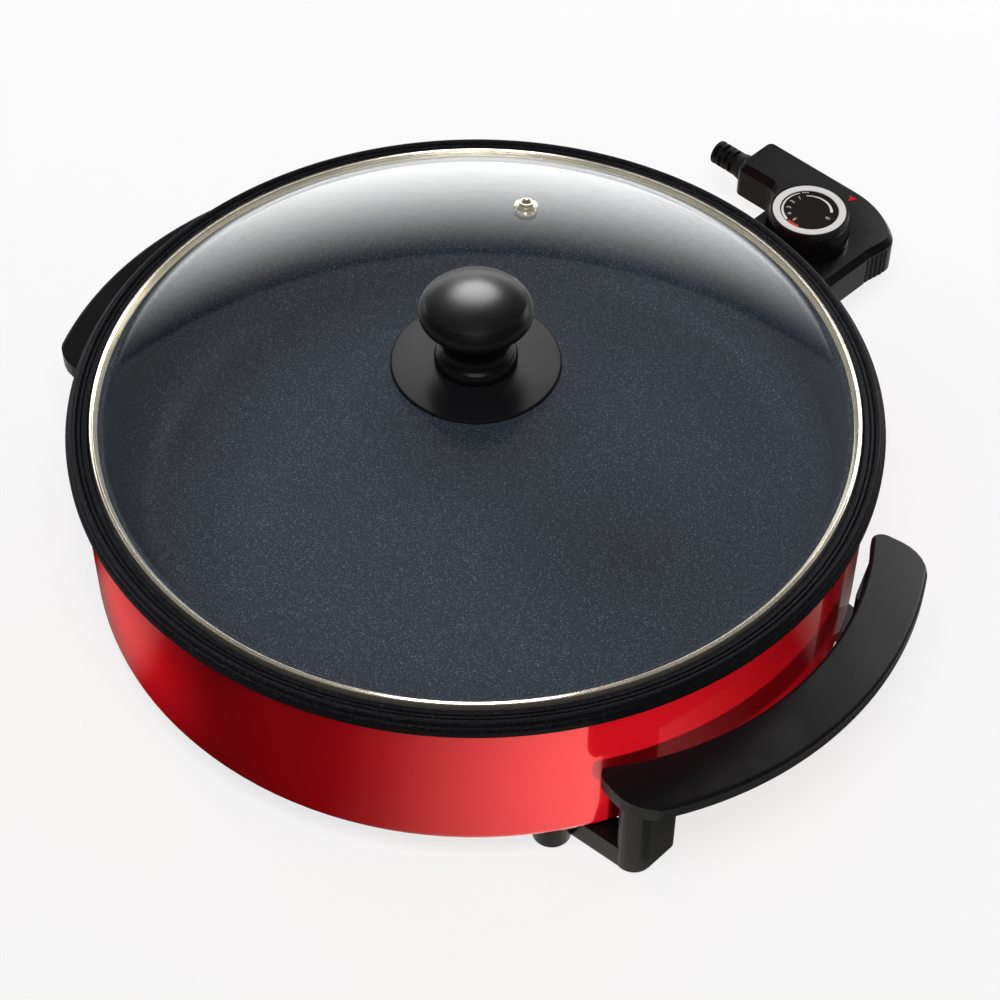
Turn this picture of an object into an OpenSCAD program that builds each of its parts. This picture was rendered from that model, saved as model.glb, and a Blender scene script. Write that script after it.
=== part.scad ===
// Round electric multicooker: a non-stick pan in a red shell, carried by two handles with legs,
// with a lift-off glass lid and a plug-in thermostat controller.
// Millimetres. +Z is up, z = 0 is the table and the Z axis is the pan's axis.
// The handles lie along X and the controller plugs in along Y.

/* [Pan] */
// Outside diameter of the rim
rim_d = 380; // [340:2:420]
// Depth from the lid's seat to the cooking floor
bowl_depth = 57; // [48:1:80]
// Thickness of the pan's wall and floor
pan_t = 2.5; // [2:0.1:3.5]
// Radius of the cove between floor and wall
cove_r = 26; // [18:1:34]
// Height of the space under the floor
works_h = 25; // [24:0.5:34]
// Space between the table and the shell
ground_gap = 14.4; // [12:0.2:22]

/* [Shell] */
// Overhang of the rim past the shell
rim_overhang = 4.6; // [3.6:0.2:6.6]
// Thickness of the shell's sheet
shell_t = 1.2; // [0.8:0.1:1.8]
// Radius of the shell's lower edge
shell_fillet = 6; // [4:0.5:8]

/* [Handles] */
// Radial width of the grip
grip_w = 27; // [22:0.5:30]
// Thickness of the grip
grip_t = 8; // [6:0.5:10]
// Height of the grip's top above the table
grip_z = 68; // [52:1:80]
// Length of the grip from end to end
grip_span = 202; // [190:2:214]
// Reach of the grip past the rim
grip_reach = 34.6; // [33:0.2:46]

/* [Lid] */
// Rise of the glass dome above its edge
lid_rise = 23.4; // [14:0.2:40]
// Thickness of the glass
glass_t = 4; // [3:0.5:5]
// Diameter of the knob
knob_d = 52; // [44:1:60]
// Height of the knob above its guard
knob_h = 41.6; // [32:0.4:52]
// Diameter of the guard under the knob
guard_d = 79; // [66:1:100]
// Diameter of the steam hole
vent_d = 4.7; // [3:0.1:6]

/* [Controller] */
// Distance from the rim to the dial's axis
dial_out = 59; // [56:1:70]
// Diameter of the dial
dial_d = 45; // [40:1:48]
// Height of the dial above its casing
dial_h = 18; // [16:0.5:24]
// Height of the casing
casing_h = 23; // [21.5:0.5:28]
// Diameter of the probe
probe_d = 8; // [6:0.5:9]
// Length of the probe past the plug's nose
probe_reach = 82; // [70:1:88]
// Distance between the two pins
pin_pitch = 38; // [34:1:40]
// Bore of the strain relief
cord_d = 7; // [5:0.2:8]

/* [Hidden] */
$fn = 96;

// Play between parts that move past each other, and between parts that only sit together
play = 0.3;
seat_gap = 0.02;

// Levels of the pan, from the table up
cover_t = 0.8;
cover_z = ground_gap + shell_t;
works_z = cover_z + cover_t;
under_z = works_z + works_h;
floor_z = under_z + pan_t;
seat_z = floor_z + bowl_depth;
step_z = seat_z + 3;
bead_z = step_z + 1.2;
skirt_z = bead_z - 7.4;

// Radii of the pan, from the rim inwards
rim_r = rim_d / 2;
skirt_t = 2.2;
seat_out = rim_r - 10.6;
seat_in = rim_r - 18;
bowl_r = seat_in - 2.5;
shell_r = rim_r - rim_overhang;
shell_in = shell_r - shell_t;
flange_in = shell_r - 26;
cover_r = shell_r - shell_fillet - 0.5;

// Heating element, its spreader and its terminals
conn_z = under_z - 7;
heater_d = 8;
heater_r = 100;
bend_r = 14;
bend_x = pin_pitch / 2 + bend_r;
bend_y = sqrt(pow(heater_r + bend_r, 2) - bend_x * bend_x);
bend_a = atan2(bend_y, bend_x);
spreader_w = 24;
spreader_gap = 27;
clamp_angles = [-30, 210, 270];
clamp_bar = [34, 12, 1.2];
pin_d = 6;
clip_screw = [3, 5.6, 1.8];

// Plug and socket, along Y from the pan's axis
nose_w = pin_pitch + 20;
nose_h = 12.4;
socket_wall = 2;
socket_lug_x = nose_w / 2 + 15;
socket_back = shell_r - 29.4;
socket_front = sqrt(pow(shell_in, 2) - pow(nose_w / 2 + 3, 2)) - 1;
lug_face = sqrt(pow(shell_in, 2) - socket_lug_x * socket_lug_x);
lug_screw = [3, 6, 2];
lug_thread = 9;
bead_d = 10;
bead_y0 = socket_back - 4;
bead_y1 = socket_back + 5;
nose_y0 = bead_y1 + 2.6;
nose_y1 = shell_r + 14.6;
pin_y1 = nose_y0 + 18;
probe_y0 = nose_y0 - probe_reach;
well_y0 = probe_y0 - 6;
well_y1 = socket_back - 6;

// Handles, legs and their bosses, for the corner at +X and -Y
grip_arc = 178;
grip_cx = rim_r + grip_reach - grip_arc;
grip_in = grip_arc - grip_w;
grip_end = grip_span / 2;
grip_tip_r = 22;
grip_heel_r = 6;
leg_y0 = grip_end - 11;
leg_y1 = grip_end - 39;
leg_x0 = rim_r - 20;
leg_x1 = rim_r - 2;
leg_heel = rim_r - 8.6;
leg_r = 9;
boss_r = 9;
boss_y = grip_end - 4;
boss_x = sqrt(pow(shell_r - 12, 2) - boss_y * boss_y);
arm_z = 1.2;
screw_d = 5;
boss_screw = [screw_d, 9.4, 3.4];
boss_thread = 11;
CORNERS = [[1, -1], [1, 1], [-1, 1], [-1, -1]];

// Lid
lid_r = seat_out - 0.7;
ring_t = 0.5;
ring_z = seat_z + play;
edge_r = lid_r - 4.5;
edge_z = ring_z + ring_t + seat_gap + glass_t;
ring_top = edge_z + seat_gap + ring_t;
dome_r = (edge_r * edge_r + lid_rise * lid_rise) / (2 * lid_rise);
apex_z = edge_z + lid_rise;
vent_r = 0.687 * lid_r;
vent_a = 123.2;
vent_tilt = asin(vent_r / dome_r);
guard_r = guard_d / 2;
guard_t = 2.2;
knob_z = apex_z + guard_t + 0.05;
insert_r = 5;
insert_h = 0.42 * knob_h;
stem_screw = [screw_d, 11, 3];

// Controller casing: u and v are X and Y measured from the dial's axis
dial_y = rim_r + dial_out;
casing_z = conn_z - 9.5;
casing_top = casing_z + casing_h;
casing_t = 2.2;
neck_u0 = -nose_w / 2 - 2.2;
neck_u1 = nose_w / 2 + 2.2;
head_reach = 66;
head_u0 = -head_reach;
head_u1 = neck_u1 + 3.2;
head_v = 48.9;
head_arc = 50;
head_cu = -3;
block_v = 20;
waist_u = neck_u1 + 1.5;
waist_v = 15;
flare_v = 25;
roof_t = 3;
cavity_r = 2;
edge_w = 2.8;
edge_h = 4.2;
neck_v = shell_r + 0.8 - dial_y;
gland_v = 30.5;
gland_z = conn_z + 2;
gland_d = 11;
gland_reach = 21;
boot_d = 13.4;
boot_foot_d = 15.8;
boot_foot = 5.4;
slot_w = 1.8;
slot_pitch = 3.6;
slot_rows = 4;
lens_u = -1.5;
lens_v = 40;
post_d = 7;
post_screw_d = 3;
post_screw = [post_screw_d, 5.6, 2];
small_screw_d = 2.5;
small_screw = [small_screw_d, 4.6, 1.6];
POSTS = [[-53, 40.5], [24, 27], [neck_u0 + 6, neck_v + 21.5], [neck_u1 - 6, neck_v + 21.5]];
flute_count = 5;
flute_d = 2.2;
flute_pitch = 3.2;
casing_hub = [-10, 30];

// Dial, cam and switch lever
dial_top = casing_top + dial_h;
dial_z = casing_top + 0.6;
spindle_d = 6;
bush_d = 10;
hub_d = 14;
rib_count = 72;
dial_ring_d = dial_d - 6.4;
dial_face_d = dial_ring_d - 7.6;
frame_z = casing_z + 7;
frame_t = 1.4;
cam_z = frame_z + 4;
cam_h = 4;
cam_r = 7;
cam_rise = 0.32;
turn_off = 80;
turn_max = 171;
lever_arm = 16;
lever_pivot = [14, -lever_arm];
nose_r = 1.2;
lever_nose = [cam_r + 0.15 + nose_r, 0];
FRAME_SCREWS = [[-18, -20], [-18, 13]];
clamp_u = -45;
clamp_v = 5.9;
clamp_w = 16;
clamp_thread = 12;
frame_thread = 5.5;

// Points on an arc about c, from angle a0 to a1
function arc(c, r, a0, a1, n = 12) =
    [for (i = [0:n]) let (a = a0 + (a1 - a0) * i / n) [c.x + r * cos(a), c.y + r * sin(a)]];

function unit(v) = v / norm(v);

// The corner p1 between p0 and p2, rounded to radius r
function corner(p0, p1, p2, r, n) = r <= 0 ? [p1] :
    let (
        a = unit(p0 - p1),
        b = unit(p2 - p1),
        half = acos(a * b) / 2,
        c = p1 + unit(a + b) * r / sin(half),
        s = p1 + a * r / tan(half),
        e = p1 + b * r / tan(half),
        t0 = atan2(s.y - c.y, s.x - c.x),
        t1 = atan2(e.y - c.y, e.x - c.x),
        sweep = (t1 - t0 + 540) % 360 - 180
    )
    [for (i = [0:n]) c + r * [cos(t0 + sweep * i / n), sin(t0 + sweep * i / n)]];

// An outline with each corner rounded to its own radius
function rounded(pts, radii, n = 6) = let (m = len(pts))
    [for (i = [0:m - 1]) each corner(pts[(i + m - 1) % m], pts[i], pts[(i + 1) % m], radii[i], n)];

// A smooth curve through points
function smooth(p, n = 5) = let (m = len(p) - 1) concat(
    [for (i = [0:m - 1], k = [0:n - 1])
        let (
            t = k / n,
            a = p[max(i - 1, 0)], b = p[i], c = p[i + 1], d = p[min(i + 2, m)]
        )
        0.5 * (2 * b + t * (c - a) + t * t * (2 * a - 5 * b + 4 * c - d)
            + t * t * t * (3 * b - a - 3 * c + d))],
    [p[m]]);

function ring3(pts, z) = [for (p = pts) [p.x, p.y, z]];

// A closed solid through rings with the same number of points, lowest first.
// Its ends are fans about the point hub, which sees every point of a ring.
module loft(rings, hub) {
    n = len(rings[0]);
    m = len(rings);
    ends = [for (r = [rings[0], rings[m - 1]]) [hub.x, hub.y, r[0].z]];
    polyhedron(
        points = concat([for (r = rings) each r], ends),
        faces = concat(
            [for (i = [0:n - 1]) [i, (i + 1) % n, m * n]],
            [for (i = [0:n - 1]) [(m - 1) * n + (i + 1) % n, (m - 1) * n + i, m * n + 1]],
            [for (k = [0:m - 2], i = [0:n - 1]) let (j = (i + 1) % n) each [
                [k * n + i, (k + 1) * n + i, (k + 1) * n + j],
                [k * n + i, (k + 1) * n + j, k * n + j]
            ]]),
        convexity = 8);
}

// A cylinder along Y from y0 to y1
module rod_y(d, y0, y1, x = 0, z = conn_z) {
    translate([x, y0, z])
        rotate([-90, 0, 0])
            cylinder(d = d, h = y1 - y0);
}

// A cylinder along X from x0 to x1
module rod_x(d, x0, x1, y = 0, z = 0) {
    translate([x0, y, z])
        rotate([0, 90, 0])
            cylinder(d = d, h = x1 - x0);
}

// A slotted pan-head screw that points up: its head lies below z = 0.
// Its size is its thread, its head's diameter and its head's height.
module screw(size, length) {
    d = size[0];
    head_d = size[1];
    head_h = size[2];
    difference() {
        union() {
            cylinder(d = d, h = length);
            translate([0, 0, -head_h])
                cylinder(d = head_d, h = head_h);
        }
        translate([-head_d, -d / 10, -head_h - 1])
            cube([2 * head_d, d / 5, 1 + head_h / 3]);
    }
}

module at_dial() {
    translate([0, dial_y, 0])
        children();
}

// Pan

module inner_pan() {
    bead_r = 1.5;
    groove_w = 0.9;
    groove_h = 0.8;
    groove = [for (r = [3.2, 5.2]) each [
        [seat_out + r - groove_w / 2, step_z], [seat_out + r, step_z - groove_h],
        [seat_out + r + groove_w / 2, step_z]
    ]];
    inside = concat(
        [[0, floor_z]],
        arc([bowl_r - cove_r, floor_z + cove_r], cove_r, 270, 360, 16),
        arc([seat_in + 2, seat_z - 2], 2, 180, 90, 5),
        [[seat_out, seat_z], [seat_out + 0.3, step_z - 0.4], [seat_out + 0.7, step_z]],
        groove,
        arc([rim_r - 3.4, bead_z - bead_r], bead_r, 168, 0, 8),
        arc([rim_r - skirt_t, bead_z - 4.2], skirt_t, 80, 0, 6));
    hem = [
        [rim_r, skirt_z + 0.6], [rim_r - 0.6, skirt_z],
        [rim_r - skirt_t + 0.6, skirt_z], [rim_r - skirt_t, skirt_z + 0.6],
        [rim_r - skirt_t, step_z - pan_t]
    ];
    outside = concat(
        [[seat_out + 1.2, step_z - pan_t], [seat_out + 1.2, seat_z - pan_t],
            [seat_in + pan_t, seat_z - pan_t]],
        arc([bowl_r - cove_r, floor_z + cove_r], cove_r + pan_t, 360, 270, 16),
        [[0, under_z]]);
    color("#24262c")
        rotate_extrude()
            polygon(concat(inside, hem, outside));
}

module outer_shell() {
    f = shell_fillet;
    wall = concat(
        [[flange_in, ground_gap]],
        arc([shell_r - f, ground_gap + f], f, 270, 360, 10),
        [[shell_r, step_z - pan_t], [shell_in, step_z - pan_t]],
        arc([shell_r - f, ground_gap + f], f - shell_t, 360, 270, 10),
        [[flange_in, cover_z]]);
    color("#c8141c")
        difference() {
            rotate_extrude()
                polygon(wall);
            translate([-nose_w / 2 - 0.8, shell_r - 12, conn_z - nose_h / 2 - 0.8])
                cube([nose_w + 1.6, 20, nose_h + 1.6]);
            for (x = [-1, 1])
                rod_y(3.2, shell_r - 14, shell_r + 2, x * socket_lug_x);
            handle_screw_holes(cover_z + 1);
        }
}

module bottom_cover() {
    dish = [
        [4.1, cover_z], [60, cover_z], [64, cover_z + 2], [flange_in - 10, cover_z + 2],
        [flange_in - 6, cover_z], [cover_r, cover_z], [cover_r, works_z], [flange_in - 6.4, works_z],
        [flange_in - 10.4, works_z + 2], [63.6, works_z + 2], [59.6, works_z], [4.1, works_z]
    ];
    color("#a9acb0")
        difference() {
            rotate_extrude()
                polygon(dish);
            handle_screw_holes(works_z + 1);
        }
}

// The stud is welded under the floor and pulls the cover and the shell up against the rim
module centre_stud() {
    color("#9a9da1")
        translate([0, 0, cover_z - 8])
            cylinder(d = 8, h = under_z - cover_z + 8);
}

module centre_washer() {
    color("#b4b7ba")
        translate([0, 0, cover_z - 1.2])
            difference() {
                cylinder(d = 20, h = 1.2);
                translate([0, 0, -1])
                    cylinder(d = 8 + 2 * seat_gap, h = 4);
            }
}

module hex_nut(across, bore, h) {
    difference() {
        cylinder(d = across / cos(30), h = h, $fn = 6);
        translate([0, 0, -1])
            cylinder(d = bore + 2 * seat_gap, h = h + 2);
    }
}

module centre_nut() {
    color("#8f9296")
        translate([0, 0, cover_z - 1.2 - 5.5])
            hex_nut(13, 8, 5.5);
}

// Handles

// Outline that trims a grip's ends: its two arcs lie just outside the grip's own
function grip_trim(out = 0.6) = let (
        ro = grip_arc + out,
        ri = grip_in - out,
        ao = asin(grip_end / ro),
        ai = asin((grip_end - 6) / ri),
        n = 10
    )
    rounded(
        concat(arc([grip_cx, 0], ro, -ao, ao, n), arc([grip_cx, 0], ri, ai, -ai, n)),
        [for (k = [0:2 * n + 1]) k == 0 || k == n ? grip_tip_r : k == n + 1 || k == 2 * n + 1 ? grip_heel_r : 0]);

// The arc that the hand holds, with its long edges rounded
module grip() {
    z0 = grip_z - grip_t;
    intersection() {
        translate([grip_cx, 0, 0])
            rotate([0, 0, -60])
                rotate_extrude(angle = 120)
                    polygon(rounded(
                        [[grip_in, z0], [grip_arc, z0], [grip_arc, grip_z], [grip_in, grip_z]],
                        [1, 1, 1.8, 1.8], 4));
        translate([0, 0, z0 - 1])
            linear_extrude(grip_t + 2)
                polygon(grip_trim());
    }
}

// Outline of a leg, drawn in by i: its inner side slants under the grip
function leg_outline(i) = let (
        slant = (leg_heel - leg_x0) / (leg_y0 - leg_y1),
        in = i * sqrt(1 + slant * slant)
    ) rounded(
    [[leg_x0 + in + slant * i, -leg_y0 + i], [leg_x1 - i, -leg_y0 + i],
        [leg_x1 - i, -leg_y1 - i], [leg_heel + in - slant * i, -leg_y1 - i]],
    [6 - i, leg_r - i, 4 - i, 3 - i], 8);

// One leg with its arm and screw boss, at +X and -Y
module leg() {
    translate([0, 0, 1.4])
        linear_extrude(grip_z - grip_t + 1 - 1.4)
            polygon(leg_outline(0));
    linear_extrude(1.6)
        polygon(leg_outline(1.2));
    translate([0, 0, arm_z])
        linear_extrude(ground_gap - play - arm_z)
            polygon([
                [boss_x, 4 - boss_y], [leg_x1 - leg_r, 0.4 - leg_y0], [leg_heel + 1, -leg_y1 - 8],
                [leg_heel - 5, -leg_y1 - 10], [boss_x - 6, 5 - boss_y]
            ]);
    translate([boss_x, -boss_y, arm_z])
        cylinder(r = boss_r, h = ground_gap - arm_z);
}

module handle() {
    difference() {
        union() {
            grip();
            leg();
            mirror([0, 1, 0])
                leg();
        }
        for (s = [-1, 1])
            translate([boss_x, s * boss_y, 0]) {
                cylinder(d = screw_d + 0.3, h = ground_gap + 1);
                cylinder(d = 10, h = ground_gap - 5);
            }
    }
}

module right_handle() {
    color("#161618")
        handle();
}

module left_handle() {
    color("#161618")
        rotate([0, 0, 180])
            handle();
}

module at_bosses(z) {
    for (c = CORNERS)
        translate([c.x * boss_x, c.y * boss_y, z])
            children();
}

module handle_screw_holes(top) {
    at_bosses(ground_gap - 1)
        cylinder(d = screw_d + 0.3, h = top - ground_gap + 2);
}

module handle_screws() {
    color("#b8babd")
        at_bosses(ground_gap - 5)
            screw(boss_screw, works_z - ground_gap + boss_thread);
}

module handle_nuts() {
    color("#a4a7aa")
        at_bosses(works_z)
            hex_nut(8, screw_d, 4);
}

// Heater

module heat_spreader() {
    color("#b9bcc0")
        rotate([0, 0, 90 + spreader_gap])
            rotate_extrude(angle = 360 - 2 * spreader_gap)
                difference() {
                    translate([heater_r - spreader_w / 2, conn_z])
                        square([spreader_w, under_z - conn_z]);
                    translate([heater_r, conn_z])
                        circle(d = heater_d + 2 * seat_gap);
                }
}

// Section of the element, swept about an axis r away
module element_arc(r, angle) {
    rotate_extrude(angle = angle)
        translate([r, 0])
            circle(d = heater_d);
}

module heating_element() {
    color("#6f6a66")
        translate([0, 0, conn_z]) {
            rotate([0, 0, 180 - bend_a])
                element_arc(heater_r, 180 + 2 * bend_a);
            for (s = [0, 1])
                mirror([s, 0, 0]) {
                    rotate([0, 0, bend_a])
                        translate([heater_r, 0, 0])
                            sphere(d = heater_d + 0.1);
                    translate([bend_x, bend_y, 0])
                        rotate([0, 0, 180])
                            element_arc(bend_r, bend_a);
                    translate([0, 0, -conn_z])
                        rod_y(heater_d, bend_y, bead_y0, pin_pitch / 2);
                }
        }
}

module at_clamps(z) {
    for (a = clamp_angles)
        rotate([0, 0, a])
            translate([heater_r, 0, z])
                children();
}

clamp_z = conn_z - heater_d / 2 - clamp_bar.z;
clamp_hole = clamp_bar.x / 2 - 8;

module element_clamps() {
    color("#9fa2a6")
        at_clamps(clamp_z)
            difference() {
                translate([-clamp_bar.x / 2, -clamp_bar.y / 2, 0])
                    cube(clamp_bar);
                for (s = [-1, 1])
                    translate([s * clamp_hole, 0, -1])
                        cylinder(d = 3.1, h = 4);
            }
}

module element_screws() {
    color("#8d9094")
        at_clamps(clamp_z)
            for (s = [-1, 1])
                translate([s * clamp_hole, 0, 0])
                    screw(clip_screw, conn_z - clamp_z);
}

module terminal_pins() {
    color("#d2d0c8")
        for (s = [-1, 1])
            rod_y(pin_d, bead_y0, pin_y1, s * pin_pitch / 2);
}

module pin_insulators() {
    color("#e9e4d8")
        for (s = [-1, 1])
            difference() {
                union() {
                    rod_y(bead_d, bead_y0, bead_y1, s * pin_pitch / 2);
                    rod_y(bead_d + 3, bead_y0, socket_back, s * pin_pitch / 2);
                }
                rod_y(pin_d + 2 * seat_gap, bead_y0 - 1, bead_y1 + 1, s * pin_pitch / 2);
            }
}

module inlet_socket() {
    w = nose_w + 1;
    h = nose_h + 1;
    color("#1d1d1f")
        difference() {
            union() {
                translate([-w / 2 - socket_wall, socket_back, conn_z - h / 2 - socket_wall])
                    cube([w + 2 * socket_wall, socket_front - socket_back, h + 2 * socket_wall]);
                translate([-socket_lug_x - 4, lug_face - 3, conn_z - 6])
                    cube([2 * socket_lug_x + 8, 3, 12]);
            }
            translate([-w / 2, socket_back + 3, conn_z - h / 2])
                cube([w, 60, h]);
            for (s = [-1, 1])
                rod_y(bead_d + 2 * seat_gap, socket_back - 1, socket_back + 5, s * pin_pitch / 2);
            rod_y(probe_d + 1, socket_back - 1, socket_back + 5);
            for (s = [-1, 1])
                rod_y(3 + 2 * seat_gap, lug_face - 4, lug_face + 1, s * socket_lug_x);
            difference() {
                translate([-200, 0, conn_z - 20])
                    cube([400, 300, 40]);
                translate([0, 0, conn_z - 20])
                    cylinder(r = shell_in - 0.05, h = 40);
            }
        }
}

module inlet_screws() {
    color("#b8babd")
        for (s = [-1, 1])
            translate([s * socket_lug_x, sqrt(pow(shell_r, 2) - pow(socket_lug_x - 3, 2)), conn_z])
                rotate([90, 0, 0])
                    screw(lug_screw, lug_thread);
}

module probe_well() {
    color("#b9bcc0")
        difference() {
            translate([-probe_d / 2 - 4, well_y0, conn_z - probe_d / 2 - 2.5])
                cube([probe_d + 8, well_y1 - well_y0, under_z - conn_z + probe_d / 2 + 2.5]);
            rod_y(probe_d + 2 * play, probe_y0 - 2, well_y1 + 1);
        }
}

// Lid

function dome_z(r) = apex_z - dome_r + sqrt(dome_r * dome_r - r * r);

module at_vent() {
    rotate([0, 0, vent_a])
        translate([vent_r, 0, dome_z(vent_r)])
            rotate([0, vent_tilt, 0])
                children();
}

module lid_glass() {
    hole = 4;
    n = 24;
    radii = [for (i = [0:n]) hole + (edge_r - hole) * i / n];
    color("#dfe9ea", 0.35)
        difference() {
            rotate_extrude()
                polygon(concat(
                    [for (r = radii) [r, dome_z(r)]],
                    [[lid_r - ring_t - 0.1, edge_z], [lid_r - ring_t - 0.1, edge_z - glass_t]],
                    [for (i = [n:-1:0]) [radii[i], dome_z(radii[i]) - glass_t]]));
            at_vent()
                translate([0, 0, -glass_t - 5])
                    cylinder(d = vent_d + 2.9, h = glass_t + 10);
        }
}

module lid_ring() {
    lip = 1.9;
    foot = 3.8;
    bend = 0.8;
    color("#d8d2c4")
        rotate_extrude()
            polygon(concat(
                [[lid_r - foot, ring_z]],
                arc([lid_r - bend, ring_z + bend], bend, 270, 360, 4),
                arc([lid_r - bend, ring_top - bend], bend, 0, 90, 4),
                [[lid_r - lip, ring_top], [lid_r - lip, ring_top - ring_t],
                    [lid_r - ring_t, ring_top - ring_t], [lid_r - ring_t, ring_z + ring_t],
                    [lid_r - foot, ring_z + ring_t]]));
}

module vent_ferrule() {
    r = vent_d / 2;
    g = 0.06;
    color("#cfc9bd")
        at_vent()
            rotate_extrude()
                polygon([
                    [r, -glass_t - 1.2], [r + 2.8, -glass_t - 1.2], [r + 2.8, -glass_t - g],
                    [r + 1.4, -glass_t - g], [r + 1.4, g], [r + 3.2, g], [r + 3.5, 0.5], [r + 3.2, 1.2],
                    [r + 1.9, 1.4], [r + 1.7, 2.5], [r + 1.2, 2.9], [r + 0.4, 2.9], [r, 2.5]
                ]);
}

module knob_guard() {
    n = 12;
    color("#18181a")
        rotate_extrude()
            polygon(concat(
                [for (i = [0:n]) let (r = 3.2 + (guard_r - 1 - 3.2) * i / n) [r, dome_z(r) + 0.05]],
                [[guard_r - 0.2, dome_z(guard_r) + 0.8], [guard_r, dome_z(guard_r) + 1.5],
                    [guard_r - 0.3, dome_z(guard_r) + 2.2], [guard_r - 1.2, dome_z(guard_r) + 2.5]],
                [[0.5 * knob_d, apex_z + guard_t], [3.2, apex_z + guard_t]]));
}

module lid_knob() {
    kr = knob_d / 52;
    kz = knob_h / 41.6;
    neck = smooth([
        [18.6, 0], [19.2, 2.4], [18.4, 5.4], [16.6, 7], [15, 10.5], [15.2, 15.5], [18.2, 21], [23.4, 25.6]
    ]);
    head = smooth([[25.4, 27.6], [26, 29.4], [25.2, 31.8], [22.6, 34.8]], 4);
    crown_r = (22.6 * 22.6 + 6.8 * 6.8) / (2 * 6.8);
    crown = [for (i = [1:10]) let (r = 22.6 * (1 - i / 10)) [r, 41.6 - crown_r + sqrt(crown_r * crown_r - r * r)]];
    color("#0f0f11")
        translate([0, 0, knob_z])
            difference() {
                rotate_extrude()
                    polygon([for (p = concat([[0, 0]], neck, head, crown)) [p.x * kr, p.y * kz]]);
                translate([0, 0, -1])
                    cylinder(r = insert_r + seat_gap, h = insert_h + 1);
            }
}

module knob_insert() {
    color("#b08d4a")
        translate([0, 0, knob_z])
            difference() {
                cylinder(r = insert_r, h = insert_h);
                translate([0, 0, -1])
                    cylinder(d = screw_d + 2 * seat_gap, h = insert_h - 1);
            }
}

seal_z = apex_z - glass_t - 0.12 - 1.5;

module knob_screw() {
    color("#c2c4c6")
        translate([0, 0, seal_z - 1])
            screw(stem_screw, knob_z + insert_h - 4 - seal_z);
}

module washer(d, bore, h, z) {
    translate([0, 0, z])
        difference() {
            cylinder(d = d, h = h);
            translate([0, 0, -1])
                cylinder(d = bore, h = h + 2);
        }
}

module knob_washer() {
    color("#c2c4c6")
        washer(20, screw_d + 0.2, 1, seal_z - 1);
}

module knob_seal() {
    color("#d9d6cf")
        washer(22, screw_d + 0.2, 1.5, seal_z);
}

// Controller

// Outline of the casing, drawn in by i. The corners of the cable block have a radius of block_r.
function casing_outline(i, block_r = 4.5) = let (
        r = head_arc - i,
        a0 = acos((head_u1 - i - head_cu) / r),
        cv = head_v - head_arc,
        n = 8,
        pts = concat(
            [[neck_u0 + i, neck_v + i], [neck_u1 - i, neck_v + i], [waist_u - i, waist_v], [head_u1 - i, flare_v]],
            arc([head_cu, cv], r, a0, 90, n),
            [[head_u0 + i, head_v - i], [head_u0 + i, block_v + i], [neck_u0 + i, block_v + i]])
    )
    rounded(pts, concat(
        [1.5, 1.5, 12 + i, 4 - i / 2, 9 - i / 2], [for (k = [1:n]) 0], [block_r - i / 2, block_r - i / 2, 12 + i]));

// Grooves for the finger, down the flared end of the casing's side
module flutes() {
    for (k = [0:flute_count - 1]) {
        v = waist_v - 2 + flute_pitch * k;
        share = min(max((v - waist_v) / (flare_v - waist_v), 0), 1);
        translate([waist_u + (head_u1 - waist_u) * share + 0.35, v, casing_z - 1])
            cylinder(d = flute_d, h = casing_h - edge_h);
    }
}

// Holes through both halves for the plug's nose and the strain relief
module casing_mouths() {
    translate([-nose_w / 2 - seat_gap, neck_v - 1, conn_z - nose_h / 2 - seat_gap])
        cube([nose_w + 2 * seat_gap, 8, nose_h + 2 * seat_gap]);
    rod_x(gland_d + 2 * seat_gap, head_u0 - 1, head_u0 + 4, gland_v, gland_z);
}

module lens_shape(gap) {
    w = 2.4 + 1.6 * gap;
    translate([lens_u, lens_v])
        polygon([[0, -2.4 - 2 * gap], [w, 1.8 + gap], [-w, 1.8 + gap]]);
}

module housing_top() {
    color("#18181a")
        at_dial()
            difference() {
                union() {
                    difference() {
                        loft([
                            ring3(casing_outline(0), conn_z), ring3(casing_outline(0), casing_top - edge_h),
                            ring3(casing_outline(0.75 * edge_w), casing_top - 0.2 * edge_h),
                            ring3(casing_outline(edge_w), casing_top)
                        ], casing_hub);
                        translate([0, 0, conn_z - 1])
                            linear_extrude(casing_top - roof_t - conn_z + 1)
                                polygon(casing_outline(casing_t, cavity_r));
                    }
                    for (p = POSTS)
                        translate([p.x, p.y, conn_z])
                            cylinder(d = post_d, h = casing_top - 2 - conn_z);
                    translate([0, 0, casing_top - 5])
                        cylinder(d = bush_d + 5, h = 4);
                }
                casing_mouths();
                flutes();
                translate([0, 0, conn_z - 1])
                    cylinder(d = bush_d + 2 * seat_gap, h = casing_h);
                for (p = POSTS)
                    translate([p.x, p.y, conn_z - 1])
                        cylinder(d = post_screw_d + 2 * seat_gap, h = casing_top - 4 - conn_z);
                translate([0, 0, conn_z])
                    linear_extrude(casing_h)
                        lens_shape(0.05);
            }
}

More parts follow.
